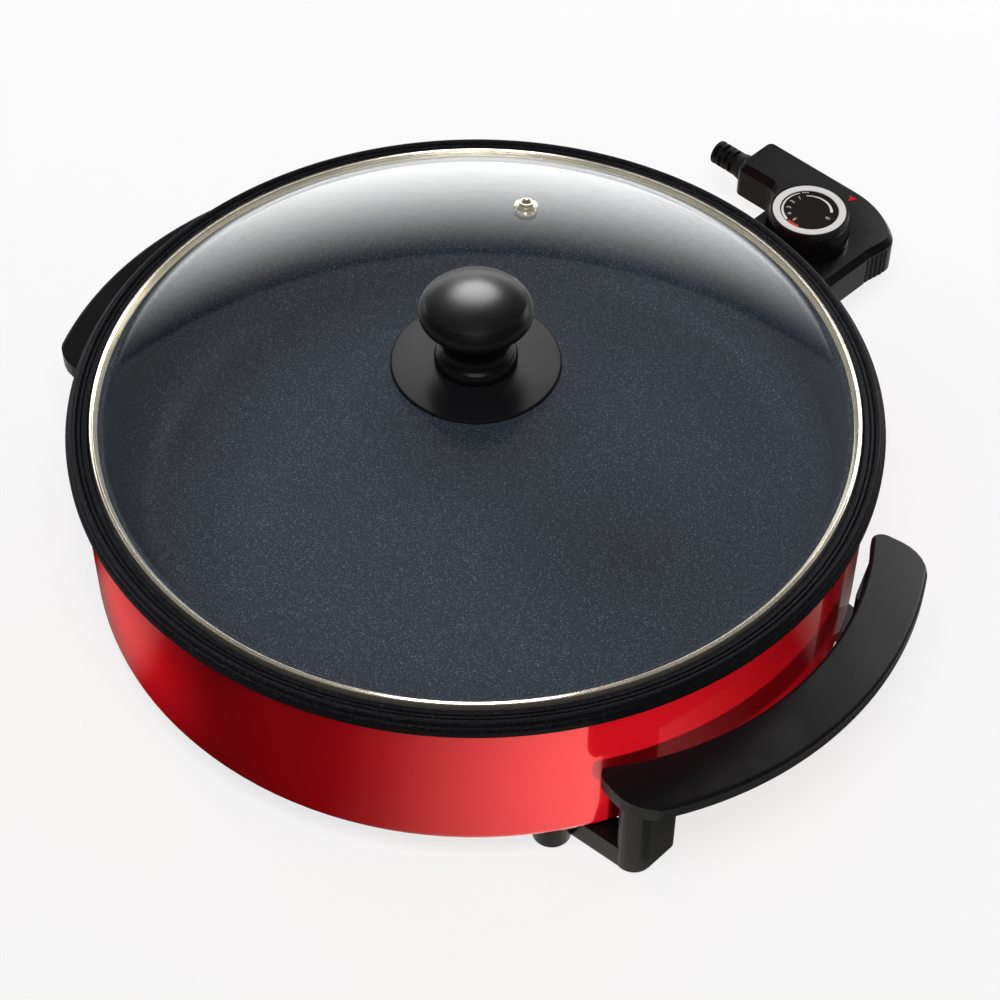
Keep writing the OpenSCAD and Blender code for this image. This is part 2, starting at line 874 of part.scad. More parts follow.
module housing_base() {
    color("#18181a")
        at_dial()
            difference() {
                union() {
                    difference() {
                        loft([
                            ring3(casing_outline(1.6), casing_z), ring3(casing_outline(0), casing_z + 1.6),
                            ring3(casing_outline(0), conn_z)
                        ], casing_hub);
                        translate([0, 0, casing_z + casing_t])
                            linear_extrude(casing_h)
                                polygon(casing_outline(casing_t, cavity_r));
                    }
                    for (p = POSTS)
                        translate([p.x, p.y, casing_z + 1])
                            cylinder(d = post_d, h = conn_z - casing_z - 1);
                    for (p = FRAME_SCREWS)
                        translate([p.x, p.y, casing_z + 1])
                            cylinder(d = 6, h = frame_z - casing_z - 1);
                    for (s = [-1, 1])
                        translate([clamp_u, gland_v + clamp_v * s, casing_z + 1])
                            cylinder(d = 5.4, h = gland_z - 2 - casing_z - 1);
                }
                casing_mouths();
                flutes();
                for (p = POSTS)
                    translate([p.x, p.y, casing_z - 1]) {
                        cylinder(d = post_screw_d + 0.3, h = casing_h);
                        cylinder(d = 6, h = 4);
                    }
                for (p = FRAME_SCREWS)
                    translate([p.x, p.y, casing_z + 2])
                        cylinder(d = small_screw_d + 2 * seat_gap, h = casing_h);
                for (s = [-1, 1])
                    translate([clamp_u, gland_v + clamp_v * s, casing_z + 2])
                        cylinder(d = small_screw_d + 2 * seat_gap, h = casing_h);
            }
}

module housing_screws() {
    color("#9a9da1")
        at_dial()
            for (p = POSTS)
                translate([p.x, p.y, casing_z + 3])
                    screw(post_screw, conn_z + 5 - casing_z - 3);
}

module pilot_lens() {
    color("#e01a22")
        at_dial()
            translate([0, 0, casing_top - roof_t])
                linear_extrude(roof_t + 0.3)
                    lens_shape(0);
}

module pilot_lamp() {
    color("#e8b9a0")
        at_dial()
            translate([lens_u, lens_v, casing_z + casing_t])
                cylinder(d = 5, h = casing_h - casing_t - roof_t);
}

// One row of slots round the strain relief: a groove that four bars bridge
module slot_row(u, turn) {
    difference() {
        rod_x(boot_d + 2, u, u + slot_w);
        rod_x(cord_d + 3, u - 1, u + slot_w + 1);
        for (q = [0:3])
            rotate([turn + 90 * q, 0, 0])
                translate([u - 1, -1.4, 0])
                    cube([slot_w + 2, 2.8, boot_d]);
    }
}

module strain_relief() {
    end = head_u0 - gland_reach;
    inner = head_u0 + casing_t;
    color("#141416")
        at_dial()
            translate([0, gland_v, gland_z])
                difference() {
                    union() {
                        rod_x(boot_d, end, head_u0 - boot_foot);
                        translate([head_u0 - boot_foot, 0, 0])
                            rotate([0, 90, 0])
                                cylinder(d1 = boot_d, d2 = boot_foot_d, h = boot_foot - seat_gap);
                        rod_x(gland_d, head_u0 - 1, inner + 2.5);
                        rod_x(boot_d + 0.8, inner + seat_gap, inner + 2.5);
                    }
                    rod_x(cord_d, end - 1, inner + 8);
                    for (k = [0:slot_rows - 1])
                        slot_row(end + 1.6 + slot_pitch * k, 45 * (k % 2));
                }
}

module cord_clamp() {
    color("#2a2a2c")
        at_dial()
            difference() {
                translate([clamp_u - 4, gland_v - clamp_w / 2, gland_z - 2])
                    cube([8, clamp_w, 7]);
                rod_x(cord_d - 0.4, clamp_u - 5, clamp_u + 5, gland_v, gland_z - 1.4);
                for (s = [-1, 1])
                    translate([clamp_u, gland_v + clamp_v * s, gland_z - 3])
                        cylinder(d = 2.6, h = 10);
            }
}

module clamp_screws() {
    color("#9a9da1")
        at_dial()
            for (s = [-1, 1])
                translate([clamp_u, gland_v + clamp_v * s, gland_z + 5])
                    rotate([180, 0, 0])
                        screw(small_screw, clamp_thread);
}

module plug_nose() {
    color("#202022")
        difference() {
            translate([-nose_w / 2, nose_y0, conn_z - nose_h / 2])
                cube([nose_w, nose_y1 - nose_y0, nose_h]);
            for (s = [-1, 1]) {
                rod_y(pin_d + 2 * play, nose_y0 - 1, nose_y0 + 3, s * pin_pitch / 2);
                rod_y(9 + 2 * seat_gap, nose_y0 + 1.5, nose_y1 + 1, s * pin_pitch / 2);
            }
            rod_y(probe_d + 2 * seat_gap, nose_y0 - 1, nose_y1 + 1);
        }
}

module contact_sleeves() {
    color("#c9a95a")
        for (s = [-1, 1]) {
            difference() {
                rod_y(9, nose_y0 + 1.5 + seat_gap, nose_y1 - 2, s * pin_pitch / 2);
                rod_y(pin_d + 0.3, nose_y0, nose_y1 - 6, s * pin_pitch / 2);
            }
            translate([s * pin_pitch / 2 - 2.5, nose_y1 - 3, conn_z - 0.5])
                cube([5, 9, 1]);
        }
}

module probe_tube() {
    tip = probe_d / 2;
    color("#c4c7ca")
        difference() {
            union() {
                translate([0, probe_y0, conn_z])
                    rotate([-90, 0, 0])
                        rotate_extrude()
                            polygon(concat([[0, 0]], arc([tip - 2, 2], 2, 270, 360, 6),
                                [[tip, nose_y1 + 8 - probe_y0], [0, nose_y1 + 8 - probe_y0]]));
                rod_y(probe_d + 5, nose_y1 + seat_gap, nose_y1 + 2);
            }
            rod_y(probe_d - 1.2, probe_y0 + 2, nose_y1 + 9);
        }
}

module spindle_bush() {
    color("#b89a55")
        at_dial()
            translate([0, 0, casing_top - 6])
                difference() {
                    union() {
                        cylinder(d = bush_d, h = 6.2);
                        translate([0, 0, -1.2])
                            cylinder(d = bush_d + 3, h = 1.2 + 1 - seat_gap);
                    }
                    translate([0, 0, -2])
                        cylinder(d = spindle_d + 0.1, h = 12);
                }
}

module thermostat_frame() {
    color("#a5a8ac")
        at_dial()
            translate([0, 0, frame_z])
                difference() {
                    translate([-22, -24, 0])
                        cube([44, 42, frame_t]);
                    translate([0, 0, -1])
                        cylinder(d = spindle_d + 0.1, h = 4);
                    for (p = FRAME_SCREWS)
                        translate([p.x, p.y, -1])
                            cylinder(d = 2.7, h = 4);
                    translate([lever_pivot.x, lever_pivot.y, -1])
                        cylinder(d = 3 + 2 * seat_gap, h = 4);
                }
}

module frame_screws() {
    color("#8d9094")
        at_dial()
            for (p = FRAME_SCREWS)
                translate([p.x, p.y, frame_z + frame_t])
                    rotate([180, 0, 0])
                        screw(small_screw, frame_thread);
}

module lever_pin() {
    color("#b4b7ba")
        at_dial()
            translate([lever_pivot.x, lever_pivot.y, frame_z])
                cylinder(d = 3, h = cam_z + cam_h + 1.5 - frame_z);
}

module post_insulator() {
    color("#e6e0d2")
        at_dial()
            translate([2, 9, frame_z + frame_t])
                cube([5, 8, 2]);
}

module contact_post() {
    color("#c9a95a")
        at_dial() {
            translate([3, 10, frame_z + frame_t + 2])
                cube([3, 6, cam_z + cam_h - frame_z - frame_t - 2]);
            rod_x(3, 5.5, 7, 13, cam_z + 2);
        }
}

// Dial

function rib_outline(r, depth) =
    [for (k = [0:2 * rib_count - 1]) let (a = 180 * k / rib_count) (r - (k % 2) * depth) * [cos(a), sin(a)]];

module dial_knob() {
    recess = 1.6;
    color("#151517")
        at_dial()
            difference() {
                union() {
                    translate([0, 0, dial_z])
                        cylinder(d = dial_d, h = 4);
                    translate([0, 0, dial_z + 3.9])
                        linear_extrude(dial_top - 3 - dial_z - 3.9)
                            polygon(rib_outline(dial_d / 2 - 0.15, 0.7));
                    translate([0, 0, dial_top - 3.1])
                        cylinder(d1 = dial_d - 1.9, d2 = dial_ring_d + 2.4, h = 3.1);
                }
                translate([0, 0, dial_top - recess])
                    cylinder(d = dial_ring_d + 2 * seat_gap, h = recess + 1);
                translate([0, 0, dial_z - 1])
                    difference() {
                        cylinder(d = dial_d - 5, h = dial_top - 4.6 - dial_z + 1);
                        cylinder(d = hub_d, h = dial_top);
                    }
                translate([0, 0, dial_z - 1])
                    cylinder(d = spindle_d + 2 * seat_gap, h = dial_h - 5);
            }
}

module dial_ring() {
    color("#e6e6e4")
        at_dial()
            difference() {
                translate([0, 0, dial_top - 1.6])
                    cylinder(d = dial_ring_d, h = 1.8);
                translate([0, 0, dial_top - 3])
                    cylinder(d = dial_face_d + 2 * seat_gap, h = 6);
            }
}

module dial_face() {
    color("#231a18")
        at_dial()
            translate([0, 0, dial_top - 1.6])
                cylinder(d = dial_face_d, h = 1.4);
}

module dial_spindle() {
    color("#b4b7ba")
        at_dial()
            translate([0, 0, frame_z - 3.4])
                cylinder(d = spindle_d, h = dial_z + dial_h - 6.2 - frame_z + 3.4);
}

module spindle_clip() {
    color("#8d9094")
        at_dial()
            washer(10, spindle_d + 2 * seat_gap, 0.9, frame_z - 0.9 - play);
}

// Radius of the cam seen by the lever when the dial has turned by -a degrees
function cam_at(a) = cam_r + cam_rise * a * PI / 180;

module dial_cam() {
    lo = -turn_off - 8;
    hi = turn_max + 8;
    n = 60;
    rise = [for (i = [0:n]) let (a = lo + (hi - lo) * i / n) cam_at(a) * [cos(a), sin(a)]];
    back = [for (i = [1:11]) let (t = i / 12, a = hi + (lo + 360 - hi) * t)
        (cam_at(hi) + (cam_at(lo) - cam_at(hi)) * t) * [cos(a), sin(a)]];
    color("#e2ded4")
        at_dial()
            translate([0, 0, cam_z])
                difference() {
                    linear_extrude(cam_h)
                        polygon(concat(rise, back));
                    translate([0, 0, -1])
                        cylinder(d = spindle_d + 2 * seat_gap, h = cam_h + 2);
                }
}

// Switch lever that the cam pushes

module contact_lever() {
    bar_u = lever_nose.x + nose_r + 1;
    color("#cdb06a")
        at_dial()
            translate([0, 0, cam_z])
                difference() {
                    union() {
                        translate([bar_u, lever_pivot.y, 0])
                            cube([2, lever_arm + 16, cam_h]);
                        translate([lever_nose.x, -nose_r, 0])
                            cube([bar_u - lever_nose.x + 1, 2 * nose_r, cam_h]);
                        translate([lever_nose.x, lever_nose.y, 0])
                            cylinder(r = nose_r, h = cam_h);
                        translate([lever_pivot.x, lever_pivot.y, 0])
                            cylinder(d = 7.5, h = cam_h);
                    }
                    translate([lever_pivot.x, lever_pivot.y, -1])
                        cylinder(d = 3.1, h = cam_h + 2);
                }
}

module lever_contact() {
    bar_u = lever_nose.x + nose_r + 1;
    color("#d6d6d4")
        at_dial()
            rod_x(3, bar_u - 1.2, bar_u, 13, cam_z + 2);
}

inner_pan();
outer_shell();
bottom_cover();
centre_stud();
centre_washer();
centre_nut();
right_handle();
left_handle();
handle_screws();
handle_nuts();
heat_spreader();
heating_element();
element_clamps();
element_screws();
terminal_pins();
pin_insulators();
inlet_socket();
inlet_screws();
probe_well();
lid_glass();
lid_ring();
vent_ferrule();
knob_guard();
lid_knob();
knob_insert();
knob_screw();
knob_washer();
knob_seal();
housing_top();
housing_base();
housing_screws();
pilot_lens();
pilot_lamp();
strain_relief();
cord_clamp();
clamp_screws();
plug_nose();
contact_sleeves();
probe_tube();
spindle_bush();
thermostat_frame();
frame_screws();
lever_pin();
contact_post();
post_insulator();
dial_knob();
dial_ring();
dial_face();
dial_spindle();
spindle_clip();
dial_cam();
contact_lever();
lever_contact();
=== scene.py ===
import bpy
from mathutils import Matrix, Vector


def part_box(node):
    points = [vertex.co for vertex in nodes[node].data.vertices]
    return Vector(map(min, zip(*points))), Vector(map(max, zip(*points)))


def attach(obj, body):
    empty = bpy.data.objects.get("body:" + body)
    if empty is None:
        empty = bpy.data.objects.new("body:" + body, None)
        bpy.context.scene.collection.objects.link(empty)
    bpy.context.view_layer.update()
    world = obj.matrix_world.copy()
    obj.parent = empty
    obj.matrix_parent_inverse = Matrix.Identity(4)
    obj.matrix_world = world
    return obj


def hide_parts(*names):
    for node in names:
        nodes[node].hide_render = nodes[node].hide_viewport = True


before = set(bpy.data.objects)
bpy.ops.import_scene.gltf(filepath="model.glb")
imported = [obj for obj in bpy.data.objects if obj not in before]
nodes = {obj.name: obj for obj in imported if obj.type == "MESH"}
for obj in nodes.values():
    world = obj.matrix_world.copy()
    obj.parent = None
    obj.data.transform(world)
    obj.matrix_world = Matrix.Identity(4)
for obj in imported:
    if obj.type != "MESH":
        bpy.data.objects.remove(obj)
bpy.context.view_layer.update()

# %% [markdown]
# This lesson dresses a round electric pan: a non-stick bowl in a red shell, a glass lid with
# a knob, two handles that stand on legs, and a plug-in thermostat with a dial.
# The solids come from the frame and keep their places. Pieces that light glances along are
# turned again here with finer steps, and everything else only gets its finish.

# %% Modules and units
from math import atan2, cos, degrees, pi, radians, sin, sqrt

import bmesh
import bpy
from mathutils import Matrix, Vector

MM = 0.001
scene = bpy.context.scene
scene.view_settings.view_transform = "Standard"
print("one unit is a metre; profiles below are written in millimetres")

# %% [markdown]
# The camera stands where the photograph was taken from: in front, to the right, and looking
# down by 48 degrees. A long lens keeps the ellipses of the rim and the floor nearly alike.
# The aim is a direction, so a track quaternion gives the turn, and a small roll follows it.

# %% Camera
lens_mm, film_mm, roll = 86.4, 36, 0.47
stand = Vector((0.5511, -0.5530, 0.9028))
aim = Vector((-0.4650, 0.4805, -0.7437))
camera = bpy.data.objects.new("photo_camera", bpy.data.cameras.new("photo_camera"))
camera.data.lens = lens_mm
camera.data.sensor_width = film_mm
turn = aim.to_track_quat("-Z", "Y").to_matrix() @ Matrix.Rotation(radians(roll), 3, "Z")
camera.matrix_world = Matrix.Translation(stand) @ turn.to_4x4()
scene.collection.objects.link(camera)
scene.camera = camera
print("camera:", lens_mm, "mm lens")

# %% [markdown]
# Three things belong to the studio and not to the pan: a table, a light card and a sheet. Each
# is a bmesh with a material of its own, so the steps that they share are helpers. Math nodes turn
# up often, and a helper that takes sockets or plain numbers keeps their wiring short.

# %% Studio helpers
def new_material(name):
    """A material, its shader nodes and their links."""
    mat = bpy.data.materials.new(name)
    mat.use_nodes = True
    return mat, mat.node_tree.nodes, mat.node_tree.links


def maths(tree, operation, a, b):
    """The result of a Math node on two sockets or plain numbers."""
    node = tree.nodes.new("ShaderNodeMath")
    node.operation = operation
    for socket, value in zip(node.inputs, (a, b)):
        if isinstance(value, (int, float)):
            socket.default_value = value
        else:
            tree.links.new(value, socket)
    return node.outputs[0]


def stage_prop(name, bm, mat):
    """A thing of the studio, made from a bmesh."""
    prop = bpy.data.objects.new(name, bpy.data.meshes.new(name))
    bm.to_mesh(prop.data)
    bm.free()
    prop.data.materials.append(mat)
    scene.collection.objects.link(prop)
    return prop


print("helpers:", new_material.__name__, maths.__name__, stage_prop.__name__)

# %% [markdown]
# From where the photograph was taken the table has no edge in view, so one large plane is enough
# for it. Its material is a plain matt grey. Rays that carry an image see it paler and with a glow,
# which lifts the table to white round the pan and still leaves the pan's soft shadow on it.

# %% Table
table_half, table_drop = 4, 0.0003
bounce_grey, picture_grey = 0.42, 0.85
glow_light, glow_share = 1.08, 0.7


def seen_directly(tree):
    """A mask that is 1 for rays that carry an image: from the camera, a mirror or glass."""
    path = tree.nodes.new("ShaderNodeLightPath")
    straight = maths(tree, "MAXIMUM", path.outputs["Is Camera Ray"], path.outputs["Is Transmission Ray"])
    return maths(tree, "MAXIMUM", straight, path.outputs["Is Glossy Ray"])


table_mat, shaders, links = new_material("table_white")
in_picture = seen_directly(table_mat.node_tree)
grey = shaders.new("ShaderNodeMapRange")
grey.inputs["To Min"].default_value = bounce_grey
grey.inputs["To Max"].default_value = picture_grey
matt = shaders["Principled BSDF"]
matt.inputs["Roughness"].default_value = 0.9
matt.inputs["Specular IOR Level"].default_value = 0.0
glow = shaders.new("ShaderNodeEmission")
glow.inputs["Color"].default_value = (1, 1, 1, 1)
glow.inputs["Strength"].default_value = glow_light
mix = shaders.new("ShaderNodeMixShader")
links.new(in_picture, grey.inputs["Value"])
links.new(grey.outputs["Result"], matt.inputs["Base Color"])
links.new(maths(table_mat.node_tree, "MULTIPLY", in_picture, glow_share), mix.inputs["Fac"])
links.new(matt.outputs[0], mix.inputs[1])
links.new(glow.outputs[0], mix.inputs[2])
links.new(mix.outputs[0], shaders["Material Output"].inputs["Surface"])

bm = bmesh.new()
bmesh.ops.create_grid(bm, x_segments=1, y_segments=1, size=table_half)
bmesh.ops.translate(bm, verts=bm.verts, vec=(0, 0, -table_drop))
table = stage_prop("table", bm, table_mat)
print("table:", len(table.data.polygons), "face")

# %% [markdown]
# The glass mirrors whatever stands behind the pan, and in a studio that is a curved white card.
# Its light is strongest near the table and dies away upwards, so the veil on the glass starts
# at the far edge and has no hard border. An upright edge, spun part of the way round, makes it.

# %% Light card behind the pan
card_radius, card_low, card_high = 1.4, 0.22, 0.84
card_start, card_sweep, card_steps = 60, 135, 27
card_strength = 6.0


def sweep(bm, ends, start, angle, steps):
    """Spins the edge between two points round the Z axis, from a start angle, in degrees."""
    points = [bm.verts.new(end) for end in ends]
    bmesh.ops.rotate(bm, verts=points, cent=(0, 0, 0), matrix=Matrix.Rotation(radians(start), 3, "Z"))
    edge = bm.edges.new(points)
    bmesh.ops.spin(bm, geom=[*points, edge], axis=(0, 0, 1), angle=radians(angle), steps=steps,
                   use_merge=angle == 360)


card_mat, shaders, links = new_material("card_light")
shaders.remove(shaders["Principled BSDF"])
where = shaders.new("ShaderNodeTexCoord")
axes = shaders.new("ShaderNodeSeparateXYZ")
fade = shaders.new("ShaderNodeMapRange")
fade.interpolation_type = "SMOOTHSTEP"
fade.inputs["From Min"].default_value = card_low
fade.inputs["From Max"].default_value = card_high
fade.inputs["To Min"].default_value = card_strength
fade.inputs["To Max"].default_value = 0.0
light = shaders.new("ShaderNodeEmission")
light.inputs["Color"].default_value = (1, 1, 1, 1)
links.new(where.outputs["Object"], axes.inputs[0])
links.new(axes.outputs["Z"], fade.inputs["Value"])
links.new(fade.outputs["Result"], light.inputs["Strength"])
links.new(light.outputs[0], shaders["Material Output"].inputs["Surface"])

bm = bmesh.new()
sweep(bm, [(card_radius, 0, card_low), (card_radius, 0, card_high)], card_start, card_sweep, card_steps)
card = stage_prop("light_card", bm, card_mat)
card.visible_camera = False
card.visible_shadow = False
print("card:", len(card.data.polygons), "faces")

# %% [markdown]
# A shiny wall mirrors the table in front of it. A photographer lays a sheet there with dark and
# light stretches, so that the wall gets its deep stripe and its bright one. The sheet is a
# radial edge spun round the pan. Its light follows a colour ramp over the angle round the pan,
# and only mirrors see it.

# %% Graded sheet on the table
sheet_inner, sheet_outer, sheet_lift = 0.150, 0.260, 0.0004
sheet_start, sheet_end, sheet_steps = -180, 180, 72
sheet_strength, warm_tint = 2.6, (1, 0.98, 0.88)
grades = [(-180, 0.36), (-160, 0.36), (-148, 0.0), (-132, 0.0), (-126, 0.08), (-112, 0.08),
          (-106, 0.0), (-68, 0.0), (-60, 0.06), (-46, 0.32), (-36, 0.52), (-24.5, 0.66),
          (-23.5, 0.14), (-14, 0.08), (-4, 0.02), (5, 0.0), (18, 0.0), (28, 0.12),
          (40, 0.02), (50, 0.02), (58, 0.36), (180, 0.36)]
sheet_mat, shaders, links = new_material("sheet_graded")
shaders.remove(shaders["Principled BSDF"])
where = shaders.new("ShaderNodeTexCoord")
axes = shaders.new("ShaderNodeSeparateXYZ")
round_pan = maths(sheet_mat.node_tree, "ARCTAN2", axes.outputs["Y"], axes.outputs["X"])
share = shaders.new("ShaderNodeMapRange")
share.inputs["From Min"].default_value = radians(sheet_start)
share.inputs["From Max"].default_value = radians(sheet_end)
ramp = shaders.new("ShaderNodeValToRGB")
stops = ramp.color_ramp.elements
for degree, _ in grades[1:-1]:
    stops.new((degree - sheet_start) / (sheet_end - sheet_start))
for stop, (_, shade) in zip(stops, grades):
    stop.color = (*(shade * tint for tint in warm_tint), 1)
light = shaders.new("ShaderNodeEmission")
light.inputs["Strength"].default_value = sheet_strength
links.new(where.outputs["Object"], axes.inputs[0])
links.new(round_pan, share.inputs["Value"])
links.new(share.outputs["Result"], ramp.inputs["Fac"])
links.new(ramp.outputs["Color"], light.inputs["Color"])
links.new(light.outputs[0], shaders["Material Output"].inputs["Surface"])

bm = bmesh.new()
sheet_edge = [(sheet_inner, 0, sheet_lift), (sheet_outer, 0, sheet_lift)]
sweep(bm, sheet_edge, sheet_start, sheet_end - sheet_start, sheet_steps)
sheet = stage_prop("graded_sheet", bm, sheet_mat)
for sight in ("visible_camera", "visible_diffuse", "visible_transmission", "visible_shadow"):
    setattr(sheet, sight, False)
print("sheet:", len(sheet.data.polygons), "faces,", len(grades), "grades")

# %% [markdown]
# A dim white world fills in the shadows. The camera alone sees it brighter, as a white backdrop
# beyond the table.

# %% World
fill_light, backdrop_light = 0.12, 0.95
world = bpy.data.worlds.new("studio")
scene.world = world
world.use_nodes = True
shaders, links = world.node_tree.nodes, world.node_tree.links
fill, backdrop = shaders["Background"], shaders.new("ShaderNodeBackground")
for light, strength in ((fill, fill_light), (backdrop, backdrop_light)):
    light.inputs["Color"].default_value = (1, 1, 1, 1)
    light.inputs["Strength"].default_value = strength
path, mix = shaders.new("ShaderNodeLightPath"), shaders.new("ShaderNodeMixShader")
links.new(path.outputs["Is Camera Ray"], mix.inputs["Fac"])
links.new(fill.outputs[0], mix.inputs[1])
links.new(backdrop.outputs[0], mix.inputs[2])
links.new(mix.outputs[0], shaders["World Output"].inputs["Surface"])
print("world:", fill_light, "fill,", backdrop_light, "backdrop")

# %% [markdown]
# A softbox above the camera lights every upper face, and stands where the glass can't mirror it.
# Three more disks and two narrow spots are each meant for a few pieces, and are given to them at
# the end. The spots make the bright stripes of the red wall: one shines from the camera's right
# and one from its left, with the darker wall between them.

# %% Lamps
def aim_lamp(lamp, target, azimuth, elevation, distance):
    """Hangs a lamp in a direction from its target and turns it that way."""
    a, e = radians(azimuth), radians(elevation)
    away = Vector((cos(a) * cos(e), sin(a) * cos(e), sin(e)))
    obj = bpy.data.objects.new(lamp.name, lamp)
    obj.matrix_world = (Matrix.Translation(Vector(target) + distance * away)
                        @ away.to_track_quat("Z", "Y").to_matrix().to_4x4())
    scene.collection.objects.link(obj)
    return obj


def spot(name, cone, watts, blend, radius):
    """A spot lamp: its cone in degrees, its power, and how soft its border and shadows are."""
    lamp = bpy.data.lights.new(name, "SPOT")
    lamp.energy = watts
    lamp.spot_size = radians(cone)
    lamp.spot_blend = blend
    lamp.shadow_soft_size = radius
    return lamp


def disk(name, size, watts):
    """A round area lamp: its diameter and its power."""
    lamp = bpy.data.lights.new(name, "AREA")
    lamp.shape = "DISK"
    lamp.size = size
    lamp.energy = watts
    return lamp


aim_lamp(disk("softbox", size=0.8, watts=14),
         target=(0, 0, 0.1), azimuth=-46, elevation=64, distance=1.6)
knob_sheen = aim_lamp(disk("knob_sheen", size=0.9, watts=80),
                      target=(0, 0, 0.13), azimuth=136, elevation=44.7, distance=1.5)
side_sheen = aim_lamp(disk("side_sheen", size=0.5, watts=28),
                      target=(0.2, 0.1, 0.07), azimuth=106, elevation=39, distance=1.5)
bowl_fill = aim_lamp(disk("bowl_fill", size=0.8, watts=24),
                     target=(0.08, 0.06, 0.05), azimuth=195, elevation=46, distance=1.6)
wall_spot = aim_lamp(spot("wall_spot", cone=12, watts=104, blend=1.0, radius=0.08),
                     target=(0.153, -0.070, 0.055), azimuth=-26, elevation=22, distance=1.2)
left_spot = aim_lamp(spot("left_spot", cone=4, watts=175, blend=0.6, radius=0.04),
                     target=(-0.043, -0.162, 0.055), azimuth=-108, elevation=22, distance=1.2)
for sheen in (knob_sheen, side_sheen):
    sheen.visible_diffuse = False

# %% [markdown]
# Several finishes share an effect, so each effect is one shader node group. Flecks are the
# bright grains in the non-stick coating: a Voronoi texture has one random colour per cell, so
# a threshold picks a few cells, and the distance to the cell's point keeps each fleck small.

# %% Group: flecks
def new_group(name, inputs, outputs):
    """A node group with number inputs and outputs, and its two end nodes."""
    tree = bpy.data.node_groups.new(name, "ShaderNodeTree")
    for label, value in inputs.items():
        socket = tree.interface.new_socket(label, in_out="INPUT", socket_type="NodeSocketFloat")
        socket.default_value = value
    for label in outputs:
        tree.interface.new_socket(label, in_out="OUTPUT", socket_type="NodeSocketFloat")
    return tree, tree.nodes.new("NodeGroupInput"), tree.nodes.new("NodeGroupOutput")


flecks, start, end = new_group("flecks", {"Scale": 900.0, "Share": 0.1, "Size": 0.3}, ["Mask"])
coords = flecks.nodes.new("ShaderNodeTexCoord")
cells = flecks.nodes.new("ShaderNodeTexVoronoi")
tone = flecks.nodes.new("ShaderNodeSeparateColor")
flecks.links.new(coords.outputs["Object"], cells.inputs["Vector"])
flecks.links.new(start.outputs["Scale"], cells.inputs["Scale"])
flecks.links.new(cells.outputs["Color"], tone.inputs[0])
chosen = maths(flecks, "LESS_THAN", tone.outputs[0], start.outputs["Share"])
small = maths(flecks, "LESS_THAN", cells.outputs["Distance"], start.outputs["Size"])
bright = maths(flecks, "MULTIPLY", chosen, small)
flecks.links.new(maths(flecks, "MULTIPLY", bright, tone.outputs[1]), end.inputs["Mask"])
print("group:", flecks.name)

# %% [markdown]
# Mouldings, sprayed enamel and rubber all have a fine grain. The group gives its height, for a
# Bump node, and a roughness that wanders a little, because no moulding shines evenly.

# %% Group: grain
grain, start, end = new_group(
    "grain", {"Scale": 1500.0, "Low": 0.3, "High": 0.4}, ["Height", "Roughness"])
coords = grain.nodes.new("ShaderNodeTexCoord")
fine = grain.nodes.new("ShaderNodeTexNoise")
fine.inputs["Detail"].default_value = 3.0
broad = grain.nodes.new("ShaderNodeTexNoise")
broad.inputs["Scale"].default_value = 30.0
broad.inputs["Detail"].default_value = 2.0
spread = grain.nodes.new("ShaderNodeMapRange")
spread.interpolation_type = "SMOOTHSTEP"
spread.inputs["From Min"].default_value = 0.35
spread.inputs["From Max"].default_value = 0.65
for texture in (fine, broad):
    grain.links.new(coords.outputs["Object"], texture.inputs["Vector"])
grain.links.new(start.outputs["Scale"], fine.inputs["Scale"])
grain.links.new(broad.outputs["Fac"], spread.inputs["Value"])
grain.links.new(start.outputs["Low"], spread.inputs["To Min"])
grain.links.new(start.outputs["High"], spread.inputs["To Max"])
grain.links.new(fine.outputs["Fac"], end.inputs["Height"])
grain.links.new(spread.outputs["Result"], end.inputs["Roughness"])
print("group:", grain.name)

# %% [markdown]
# One helper makes every grained finish: colour on the shader's own socket, roughness and bump
# from the group. Each line below gives the colour, the least and the most roughness, and the
# grain's scale and depth. Depths are in metres, so 2e-5 is a fiftieth of a millimetre.

# %% Grained finishes
def grained(name, colour, rough, scale, depth, metallic=0.0, coat=0.0, mirror=0.5):
    """A finish with a fine grain in its surface."""
    mat, shaders, links = new_material(name)
    shader = shaders["Principled BSDF"]
    shader.inputs["Base Color"].default_value = (*colour, 1)
    shader.inputs["Metallic"].default_value = metallic
    shader.inputs["Coat Weight"].default_value = coat
    shader.inputs["Specular IOR Level"].default_value = mirror
    use = shaders.new("ShaderNodeGroup")
    use.node_tree = grain
    use.inputs["Scale"].default_value = scale
    use.inputs["Low"].default_value, use.inputs["High"].default_value = rough
    bump = shaders.new("ShaderNodeBump")
    bump.inputs["Distance"].default_value = depth
    bump.inputs["Strength"].default_value = 1.0
    links.new(use.outputs["Height"], bump.inputs["Height"])
    links.new(use.outputs["Roughness"], shader.inputs["Roughness"])
    links.new(bump.outputs[0], shader.inputs["Normal"])
    return mat


satin_black = grained("satin_black", (0.006, 0.006, 0.007), (0.30, 0.36), 1800, 1e-5, mirror=0.08)
casing_black = grained("casing_black", (0.005, 0.005, 0.006), (0.24, 0.30), 2200, 8e-6, mirror=0.08)
knob_black = grained("knob_black", (0.006, 0.006, 0.007), (0.28, 0.32), 700, 2e-6, mirror=0.10)
guard_black = grained("guard_black", (0.008, 0.008, 0.009), (0.26, 0.30), 900, 3e-6, mirror=0.014)
rubber_black = grained("rubber_black", (0.006, 0.006, 0.006), (0.48, 0.58), 1600, 2e-5, mirror=0.1)
red_enamel = grained("red_enamel", (0.60, 0.006, 0.012), (0.20, 0.26), 500, 2e-6,
                     metallic=0.42, coat=0.7, mirror=0.0)
ring_white = grained("ring_white", (0.88, 0.88, 0.87), (0.20, 0.28), 900, 4e-6)
face_brown = grained("face_brown", (0.014, 0.010, 0.009), (0.45, 0.55), 2400, 8e-6, mirror=0.03)
print_white = grained("print_white", (0.82, 0.82, 0.80), (0.45, 0.55), 3000, 4e-6)
